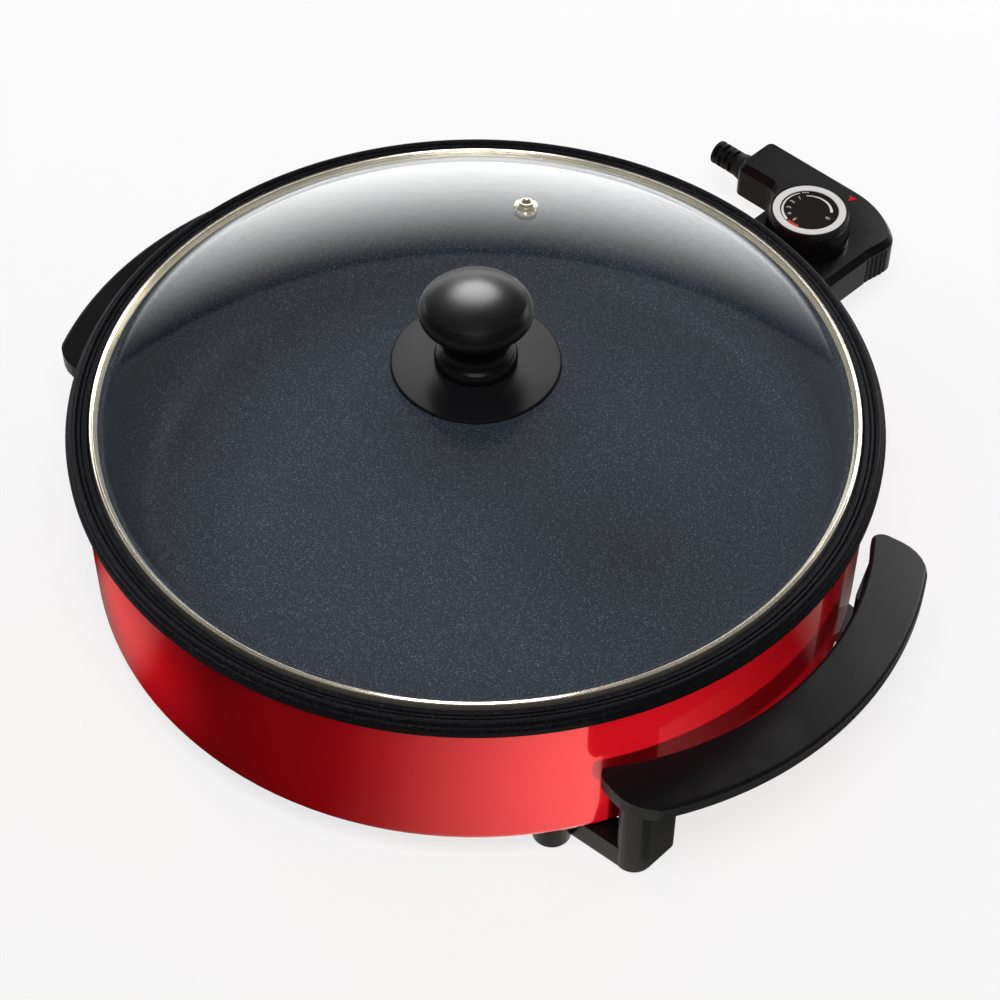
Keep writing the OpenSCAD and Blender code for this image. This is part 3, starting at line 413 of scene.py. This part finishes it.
print_red = grained("print_red", (0.72, 0.010, 0.012), (0.40, 0.50), 3000, 4e-6)
cam_ivory = grained("cam_ivory", (0.66, 0.62, 0.52), (0.35, 0.45), 1500, 1e-5)
ceramic = grained("ceramic", (0.74, 0.70, 0.60), (0.18, 0.26), 700, 8e-6)
silicone = grained("silicone", (0.62, 0.61, 0.57), (0.45, 0.55), 1200, 1e-5)
lens_red = grained("lens_red", (0.70, 0.012, 0.016), (0.10, 0.16), 900, 4e-6, coat=0.6)
print("grained finishes:", grain.users)

# %% [markdown]
# Metals use the same helper with a high metallic value. Polished steel keeps its grain very
# shallow so that the band of the lid stays a clean bright line. It stays a little below full
# metal, which keeps the band pale where it mirrors the black rim.

# %% Metals
polished_steel = grained("polished_steel", (0.86, 0.79, 0.66), (0.16, 0.22), 2500, 2e-7, metallic=0.8)
plated_steel = grained("plated_steel", (0.56, 0.57, 0.59), (0.26, 0.36), 1800, 6e-6, metallic=1.0)
plated_sheet = grained("plated_sheet", (0.50, 0.51, 0.53), (0.32, 0.44), 600, 1.2e-5, metallic=1.0)
cast_aluminium = grained("cast_aluminium", (0.62, 0.63, 0.65), (0.40, 0.52), 900, 3e-5, metallic=1.0)
sheath_steel = grained("sheath_steel", (0.20, 0.18, 0.17), (0.40, 0.52), 1300, 1.5e-5, metallic=1.0)
brass = grained("brass", (0.72, 0.54, 0.24), (0.24, 0.34), 1500, 5e-6, metallic=1.0)
print("grained finishes with the metals:", grain.users)

# %% [markdown]
# The coating has two looks on one casting. The rim is black with a fine gritty surface. The
# bowl is a dark blue-grey with bright flecks. Both are the same recipe with other numbers.

# %% Non-stick coating
def coating(name, base, fleck, rough, scale, share, size, grit, depth, mirror):
    """A gritty finish with flecks, by the scale of their cells, their share of them and their size."""
    mat = grained(name, base, rough, grit, depth, mirror=mirror)
    shaders, links = mat.node_tree.nodes, mat.node_tree.links
    use = shaders.new("ShaderNodeGroup")
    use.node_tree = flecks
    use.inputs["Scale"].default_value = scale
    use.inputs["Share"].default_value = share
    use.inputs["Size"].default_value = size
    mix = shaders.new("ShaderNodeMix")
    mix.data_type = "RGBA"
    mix.inputs["A"].default_value = (*base, 1)
    mix.inputs["B"].default_value = (*fleck, 1)
    links.new(use.outputs["Mask"], mix.inputs["Factor"])
    links.new(mix.outputs["Result"], shaders["Principled BSDF"].inputs["Base Color"])
    return mat


rim_coating = coating("rim_coating", base=(0.004, 0.004, 0.005), fleck=(0.020, 0.020, 0.022),
                      rough=(0.42, 0.50), scale=1500, share=0.45, size=0.5,
                      grit=1300, depth=6e-5, mirror=0.03)
bowl_coating = coating("bowl_coating", base=(0.021, 0.024, 0.032), fleck=(0.12, 0.145, 0.18),
                       rough=(0.36, 0.44), scale=1900, share=0.34, size=0.42,
                       grit=1800, depth=2e-5, mirror=0.01)
print("coatings:", rim_coating.name, bowl_coating.name)

# %% [markdown]
# Clear tempered glass is a plain refracting shader, with the very slight waviness of a pressed
# dome. Shadow rays can't bend, so they pass straight through, and the bowl is lit through the lid.

# %% Glass
def clear(name, colour, rough, ior, wave_scale=18.0, wave_depth=3e-7):
    """A refracting finish that lets the light of lamps through."""
    mat, shaders, links = new_material(name)
    shader = shaders["Principled BSDF"]
    shader.inputs["Base Color"].default_value = (*colour, 1)
    shader.inputs["Roughness"].default_value = rough
    shader.inputs["IOR"].default_value = ior
    shader.inputs["Transmission Weight"].default_value = 1.0
    use = shaders.new("ShaderNodeGroup")
    use.node_tree = grain
    use.inputs["Scale"].default_value = wave_scale
    bump = shaders.new("ShaderNodeBump")
    bump.inputs["Distance"].default_value = wave_depth
    links.new(use.outputs["Height"], bump.inputs["Height"])
    links.new(bump.outputs[0], shader.inputs["Normal"])
    path = shaders.new("ShaderNodeLightPath")
    passed = shaders.new("ShaderNodeBsdfTransparent")
    passed.inputs["Color"].default_value = (*colour, 1)
    mix = shaders.new("ShaderNodeMixShader")
    links.new(path.outputs["Is Shadow Ray"], mix.inputs["Fac"])
    links.new(shader.outputs[0], mix.inputs[1])
    links.new(passed.outputs[0], mix.inputs[2])
    links.new(mix.outputs[0], shaders["Material Output"].inputs["Surface"])
    return mat


lid_clear = clear("lid_clear", (0.965, 0.985, 0.98), rough=0.0, ior=1.5)
lamp_clear = clear("lamp_clear", (0.95, 0.62, 0.42), rough=0.05, ior=1.45)
print("clear finishes:", lid_clear.name, lamp_clear.name)

# %% [markdown]
# Every solid of the frame now gets its finish. A dictionary from finish to node names reads
# like a list of what is made of what.

# %% Finishes on the solids
made_of = {
    red_enamel: ["outer_shell"],
    satin_black: ["right_handle", "left_handle", "inlet_socket", "cord_clamp", "plug_nose"],
    casing_black: ["housing_top", "housing_base", "dial_knob"],
    rubber_black: ["strain_relief"],
    lamp_clear: ["pilot_lamp"],
    lens_red: ["pilot_lens"],
    polished_steel: ["vent_ferrule", "probe_tube", "knob_washer", "knob_screw"],
    plated_sheet: ["bottom_cover", "thermostat_frame", "element_clamps"],
    cast_aluminium: ["heat_spreader", "probe_well"],
    sheath_steel: ["heating_element"],
    ceramic: ["pin_insulators", "post_insulator"],
    silicone: ["knob_seal"],
    brass: ["knob_insert", "contact_sleeves", "spindle_bush", "contact_post", "contact_lever"],
    ring_white: ["dial_ring"],
    face_brown: ["dial_face"],
    cam_ivory: ["dial_cam"],
    plated_steel: ["centre_stud", "centre_washer", "centre_nut", "handle_screws", "handle_nuts",
                   "element_screws", "terminal_pins", "inlet_screws", "housing_screws", "clamp_screws",
                   "frame_screws", "lever_pin", "dial_spindle", "spindle_clip", "lever_contact"],
}
for finish, names in made_of.items():
    for name in names:
        nodes[name].data.materials.clear()
        nodes[name].data.materials.append(finish)
to_turn = sorted(set(nodes) - {name for names in made_of.values() for name in names})
print("solids still to turn again:", to_turn)

# %% [markdown]
# The pan, the glass, its steel band, the guard and the knob are all turned shapes, and light
# glances along them. A lathe works from half a section, and so does the spin operator: a chain
# of points is drawn once and swept round the Z axis. Doubles at the seam and on the axis are
# merged before the normals are recalculated. Edges sharper than the given angle stay crisp.

# %% Turning helpers
def arc(centre, radius, start, end, steps):
    """Points of a section on an arc, as (distance from the axis, height), angles in degrees."""
    angles = [radians(start + (end - start) * k / steps) for k in range(steps + 1)]
    return [(centre[0] + radius * cos(a), centre[1] + radius * sin(a)) for a in angles]


def turned(section, closed=False, steps=240, weld=2e-6):
    """A bmesh swept from a section in millimetres."""
    bm = bmesh.new()
    points = [bm.verts.new((r * MM, 0, z * MM)) for r, z in section]
    chain = [bm.edges.new(pair) for pair in zip(points, points[1:])]
    if closed:
        chain.append(bm.edges.new((points[-1], points[0])))
    bmesh.ops.spin(bm, geom=points + chain, axis=(0, 0, 1), angle=2 * pi, steps=steps, use_merge=True)
    bmesh.ops.remove_doubles(bm, verts=bm.verts, dist=weld)
    bmesh.ops.recalc_face_normals(bm, faces=bm.faces)
    return bm


def piece(name, bm, finishes, body, sharp=38):
    """Turns a bmesh into a named piece that rides on a body."""
    mesh = bpy.data.meshes.new(name)
    bm.to_mesh(mesh)
    bm.free()
    for finish in finishes:
        mesh.materials.append(finish)
    mesh.shade_smooth()
    mesh.set_sharp_from_angle(angle=radians(sharp))
    obj = bpy.data.objects.new(name, mesh)
    scene.collection.objects.link(obj)
    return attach(obj, body)


def span(name):
    """Lowest and highest corner of a solid, in millimetres."""
    low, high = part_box(name)
    return low / MM, high / MM


print("rim of the pan:", [round(v, 2) for v in span("inner_pan")[1]])

# %% [markdown]
# The pan is one casting: a flat floor, a round cove, a wall that leans out a little, a ledge for
# the lid, two fine grooves, a bead and a turned-down skirt. Its section starts in the middle of
# the floor and runs all the way round to the underside.

# %% Section of the pan
low, high = span("inner_pan")
rim, under, bead = high.x, low.z, high.z
pan_t, cove, wall_lean, mouth_r = 2.5, 26, 2.5, 2
seat_drop, step_drop, skirt_drop = 4.2, 1.2, 7.4
ledge_in, bowl_in, bead_in = 10.6, 20.5, 3.4
bead_r, skirt_t, hem = 1.5, 2.2, 0.6
step_lean, step_nick, step_t = 0.3, 0.4, 1.2
grooves, groove_w, groove_d = (3.2, 5.2), 0.45, 0.8
floor, seat, step, skirt = under + pan_t, bead - seat_drop, bead - step_drop, bead - skirt_drop
ledge, bowl = rim - ledge_in, rim - bowl_in
cove_at = (bowl - cove, floor + cove)

section = [(0, floor), (0.6 * bowl, floor), *arc(cove_at, cove, 270, 360, 20)]
section += arc((bowl + wall_lean + mouth_r, seat - mouth_r), mouth_r, 180, 90, 8)
section += [(ledge, seat), (ledge + step_lean, step - step_nick), (ledge + step_lean + step_nick, step)]
for groove in (ledge + out for out in grooves):
    section += [(groove - groove_w, step), (groove, step - groove_d), (groove + groove_w, step)]
section += arc((rim - bead_in, bead - bead_r), bead_r, 168, 0, 14)
section += arc((rim - skirt_t, seat), skirt_t, 80, 0, 10)
section += [(rim, skirt + hem), (rim - hem, skirt)]
section += [(rim - skirt_t + hem, skirt), (rim - skirt_t, skirt + hem)]
section += [(rim - skirt_t, step - pan_t), (ledge + step_t, step - pan_t), (ledge + step_t, seat - pan_t)]
section += [(bowl + wall_lean + pan_t, seat - pan_t), *arc(cove_at, cove + pan_t, 360, 270, 16)]
section += [(0, under)]
print("section of the pan:", len(section), "points")

# %% [markdown]
# The bowl, the rim and the hidden underside of the casting have different finishes, so each face
# of the turned pan gets its own by where it lies and which way it looks.

# %% Pan
in_bowl, on_rim, underneath = range(3)
bm = turned(section)
for face in bm.faces:
    centre = face.calc_center_median()
    outwards = face.normal.x * centre.x + face.normal.y * centre.y
    looks_in = face.normal.z > 0.01 or outwards < 0
    face.material_index = in_bowl if looks_in else underneath
    if centre.xy.length > ledge * MM:
        face.material_index = on_rim
pan = piece("pan_turned", bm, [bowl_coating, rim_coating, cast_aluminium], "pan")
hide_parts("inner_pan")
print("pan:", len(pan.data.polygons), "faces")

# %% [markdown]
# The lid is a shallow dome of even thickness. Its upper face is part of a sphere, whose radius
# follows from the rise of the dome over its edge.

# %% Lid glass
low, high = span("lid_ring")
lid_r, ring_low, ring_high = high.x, low.z, high.z
apex = span("lid_glass")[1].z
band_t, glass_t, play = 0.5, 4, 0.05
screw_r, edge_in, side_in, dome_steps = 4, 4.5, 0.65, 40
edge_z, edge_r = ring_high - band_t, lid_r - edge_in
rise = apex - edge_z
sphere_r = (edge_r ** 2 + rise ** 2) / (2 * rise)


def dome(r):
    """Height of the glass's upper face at a distance from the axis."""
    return apex - sphere_r + sqrt(sphere_r ** 2 - r ** 2)


radii = [screw_r + (edge_r - screw_r) * k / dome_steps for k in range(dome_steps + 1)]
section = [(r, dome(r)) for r in radii]
section += [(lid_r - side_in, edge_z - play), (lid_r - side_in, edge_z - glass_t + play)]
section += [(r, dome(r) - glass_t) for r in reversed(radii)]
glass = piece("lid_dome", turned(section, closed=True), [lid_clear], "lid", sharp=50)
print("glass:", len(glass.data.polygons), "faces, dome radius", round(sphere_r), "mm")

# %% [markdown]
# The steam hole is drilled with a Boolean, which is what a drill does: it takes a cylinder away.
# The drill stands where the steel eyelet is, square to the dome.

# %% Steam hole
drill_r, drill_h = 3.8 * MM, 30 * MM
ferrule_low, ferrule_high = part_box("vent_ferrule")
vent = (ferrule_low + ferrule_high) / 2
lean = Vector((vent.x, vent.y, sqrt((sphere_r * MM) ** 2 - vent.xy.length_squared)))
turn = lean.to_track_quat("Z", "Y").to_matrix().to_4x4()
bm = bmesh.new()
bmesh.ops.create_cone(bm, cap_ends=True, segments=48, radius1=drill_r, radius2=drill_r, depth=drill_h)
bmesh.ops.transform(bm, verts=bm.verts, matrix=Matrix.Translation(vent) @ turn)
drill = bpy.data.objects.new("drill", bpy.data.meshes.new("drill"))
bm.to_mesh(drill.data)
bm.free()
scene.collection.objects.link(drill)
cut = glass.modifiers.new("steam_hole", "BOOLEAN")
cut.operation = "DIFFERENCE"
cut.object = drill
drilled = bpy.data.meshes.new_from_object(glass.evaluated_get(bpy.context.evaluated_depsgraph_get()))
glass.modifiers.clear()
glass.data = drilled
bpy.data.objects.remove(drill)
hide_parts("lid_glass")
print("drilled glass:", len(glass.data.polygons), "faces")

# %% [markdown]
# A band of thin steel is rolled round the edge of the glass, with a lip above and below. Its
# section is a letter C, and a fine groove along the upper bend splits its shine in two lines.

# %% Lid ring
bend, lip, foot, curl = 0.8, 1.9, 3.8, 0.45
crease = (lid_r - 0.85, ring_high - 0.3)
section = [(lid_r - foot, ring_low), *arc((lid_r - bend, ring_low + bend), bend, 270, 360, 6)]
section += [*arc((lid_r - bend, ring_high - bend), bend, 0, 70, 6), crease]
section += arc((lid_r - lip + curl, ring_high - curl), curl, 60, 180, 6)
section += [(lid_r - lip, ring_high - band_t)]
section += [(lid_r - band_t, ring_high - band_t), (lid_r - band_t, ring_low + band_t)]
section += [(lid_r - foot, ring_low + band_t)]
ring = piece("lid_band", turned(section, closed=True), [polished_steel], "lid")
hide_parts("lid_ring")
print("ring:", len(ring.data.polygons), "faces")

# %% [markdown]
# Under the knob lies a flat guard that keeps the fingers off the hot glass. Its underside
# follows the dome, and its rim is rounded.

# %% Knob guard
guard_r = span("knob_guard")[1].x
guard_top = span("lid_knob")[0].z - play
hole, under_r, flat_r = 3.2, guard_r - 1, 0.66 * guard_r
guard_round, guard_lift, guard_steps = 1.1, 1.25, 16
radii = [hole + (under_r - hole) * k / guard_steps for k in range(guard_steps + 1)]
section = [(r, dome(r) + play) for r in radii]
section += arc((guard_r - guard_round, dome(guard_r) + guard_lift), guard_round, -60, 90, 10)
section += [(flat_r, guard_top), (hole, guard_top)]
guard = piece("finger_guard", turned(section, closed=True), [guard_black], "lid", sharp=20)
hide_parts("knob_guard")
print("guard:", round(guard_r * 2), "mm across")

# %% [markdown]
# The knob has a waist for the fingers, a bevelled head and a crowned top. A few points give
# each stretch, a smooth curve runs through them, and the breaks between stretches stay crisp.

# %% Knob
def smooth(points, steps=8):
    """A curve through points, each piece of it a cubic that leaves and meets its neighbours evenly."""
    way = [Vector(p) for p in [points[0], *points, points[-1]]]
    curve = []
    for a, b, c, d in zip(way, way[1:], way[2:], way[3:]):
        for t in (k / steps for k in range(steps)):
            curve.append(0.5 * (2 * b + t * (c - a) + t * t * (2 * a - 5 * b + 4 * c - d)
                                + t ** 3 * (3 * b - a - 3 * c + d)))
    return [tuple(p) for p in curve] + [tuple(points[-1])]


low, high = span("lid_knob")
head_r, knob_h = high.x, high.z - low.z
crown_r, crown_h, crown_steps = 22.6, 5.6, 24
socket_r, socket_h = 5.02, 0.42 * knob_h
waist = smooth([(18.6, 0), (19.2, 2.4), (18.4, 5.4), (16.6, 7),
                (15, 10.5), (15.2, 15.5), (18.2, 21), (23.4, 25.6)])
bevel = smooth([(25.4, 27.6), (26, 29.6), (25.1, 33), (crown_r, 36)])
crown_ball = (crown_r ** 2 + crown_h ** 2) / (2 * crown_h)
crown = [(r, knob_h - crown_ball + sqrt(crown_ball ** 2 - r * r))
         for r in (crown_r * (1 - k / crown_steps) for k in range(1, crown_steps + 1))]
section = [(0, socket_h), (socket_r, socket_h), (socket_r, 0), *waist, *bevel, *crown]
section = [(r, z + low.z) for r, z in section]
knob = piece("knob_turned", turned(section), [knob_black], "lid", sharp=16)
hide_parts("lid_knob")
print("knob:", round(2 * head_r), "mm across,", round(knob_h, 1), "mm high")

# %% [markdown]
# The dial's face is printed: two arcs that swell towards one end, three dots, a red stretch
# at the hottest end and plain numbers. A radial edge, spun through an angle, is a strip of even
# width, and moving its points in or out makes it swell. Text is made a mesh before it is placed.

# %% Printing helpers
def swelling_arc(bm, radius, start, end, first, last):
    """A flat strip round the dial's axis from one angle to another, with its two end widths."""
    before = set(bm.verts)
    sweep(bm, [(r * MM, 0, 0) for r in (radius - 0.5, radius + 0.5)], start, end - start, steps=40)
    for v in set(bm.verts) - before:
        turned_by = (degrees(atan2(v.co.y, v.co.x)) - start) % 360
        # Rounding can put the first points just short of a full turn.
        share = 0 if turned_by > 359 else turned_by / (end - start)
        width = first + (last - first) * share
        side = 0.5 if v.co.length > radius * MM else -0.5
        v.co = v.co.normalized() * (radius + side * width) * MM


def numeral(bm, text, radius, angle, size):
    """A plain number that faces outwards at an angle of the dial."""
    curve = bpy.data.curves.new("numeral", "FONT")
    curve.body = text
    curve.size = size * MM
    curve.align_x = "CENTER"
    curve.align_y = "CENTER"
    obj = bpy.data.objects.new("numeral", curve)
    scene.collection.objects.link(obj)
    bpy.context.view_layer.update()
    flat = bpy.data.meshes.new_from_object(obj.evaluated_get(bpy.context.evaluated_depsgraph_get()))
    place = Matrix.Rotation(radians(angle), 4, "Z") @ Matrix.Translation((radius * MM, 0, 0))
    flat.transform(place @ Matrix.Rotation(radians(-90), 4, "Z"))
    bm.from_mesh(flat)
    bpy.data.objects.remove(obj)


print("helpers:", swelling_arc.__name__, numeral.__name__)

# %% [markdown]
# Ink has no thickness to speak of, so the print lies four hundredths of a millimetre above the
# face. The off mark stands apart from the five settings, which follow each other evenly.

# %% Dial print
ink = 0.04 * MM
scale_r, inner_r, numeral_r, numeral_h = 14.2, 11.6, 10.8, 3.4
scale_arc, inner_arc, hot_arc = (150, 253), (36, 137), (257, 285)
thin, thick = 0.5, 1.5
dot_r, dots_r, first_dot, dot_pitch = 0.42 * MM, 14.3 * MM, 132.7, 5.2
off_mark, first_mark, mark_pitch = 10, 158, 26.5
face_low, face_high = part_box("dial_face")
face_mid = (face_low + face_high) / 2
to_face = Matrix.Translation((face_mid.x, face_mid.y, face_high.z + ink))

bm = bmesh.new()
swelling_arc(bm, scale_r, *scale_arc, thin, thick)
swelling_arc(bm, inner_r, *inner_arc, thick, thin)
for angle in (first_dot + dot_pitch * k for k in range(3)):
    dot = bmesh.ops.create_circle(bm, cap_ends=True, segments=16, radius=dot_r)["verts"]
    place = Matrix.Rotation(radians(angle), 3, "Z") @ Vector((dots_r, 0, 0))
    bmesh.ops.translate(bm, verts=dot, vec=place)
for text, angle in zip("012345", (off_mark, *(first_mark + mark_pitch * k for k in range(5)))):
    numeral(bm, text, numeral_r, angle, numeral_h)
bmesh.ops.transform(bm, verts=bm.verts, matrix=to_face)
white_print = piece("dial_scale", bm, [print_white], "dial")

bm = bmesh.new()
swelling_arc(bm, scale_r, *hot_arc, thick, thick)
bmesh.ops.transform(bm, verts=bm.verts, matrix=to_face)
red_print = piece("dial_hot_mark", bm, [print_red], "dial")
print("print:", len(white_print.data.polygons) + len(red_print.data.polygons), "faces")

# %% [markdown]
# Five lamps serve a few pieces each, as flags on stands would arrange it: a broad sheen for the knob
# and its guard, a sheen for the handle, the casing, the rim and the band, a fill for the bowl, and
# the two spots for the red wall. Light linking names the pieces that receive each lamp, so the
# glass mirrors none of them, and the spots leave the black legs alone.

# %% Lamps for single pieces
right_side = [nodes[name] for name in ("right_handle", "housing_top", "housing_base", "dial_knob")]
lit_by = {
    knob_sheen: [knob, guard],
    side_sheen: [pan, ring, *right_side],
    bowl_fill: [pan],
    wall_spot: [nodes["outer_shell"]],
    left_spot: [nodes["outer_shell"]],
}
for lamp, receivers in lit_by.items():
    group = bpy.data.collections.new("lit_by_" + lamp.name)
    for obj in receivers:
        group.objects.link(obj)
    lamp.light_linking.receiver_collection = group
print("linked lamps:", [lamp.name for lamp in lit_by])
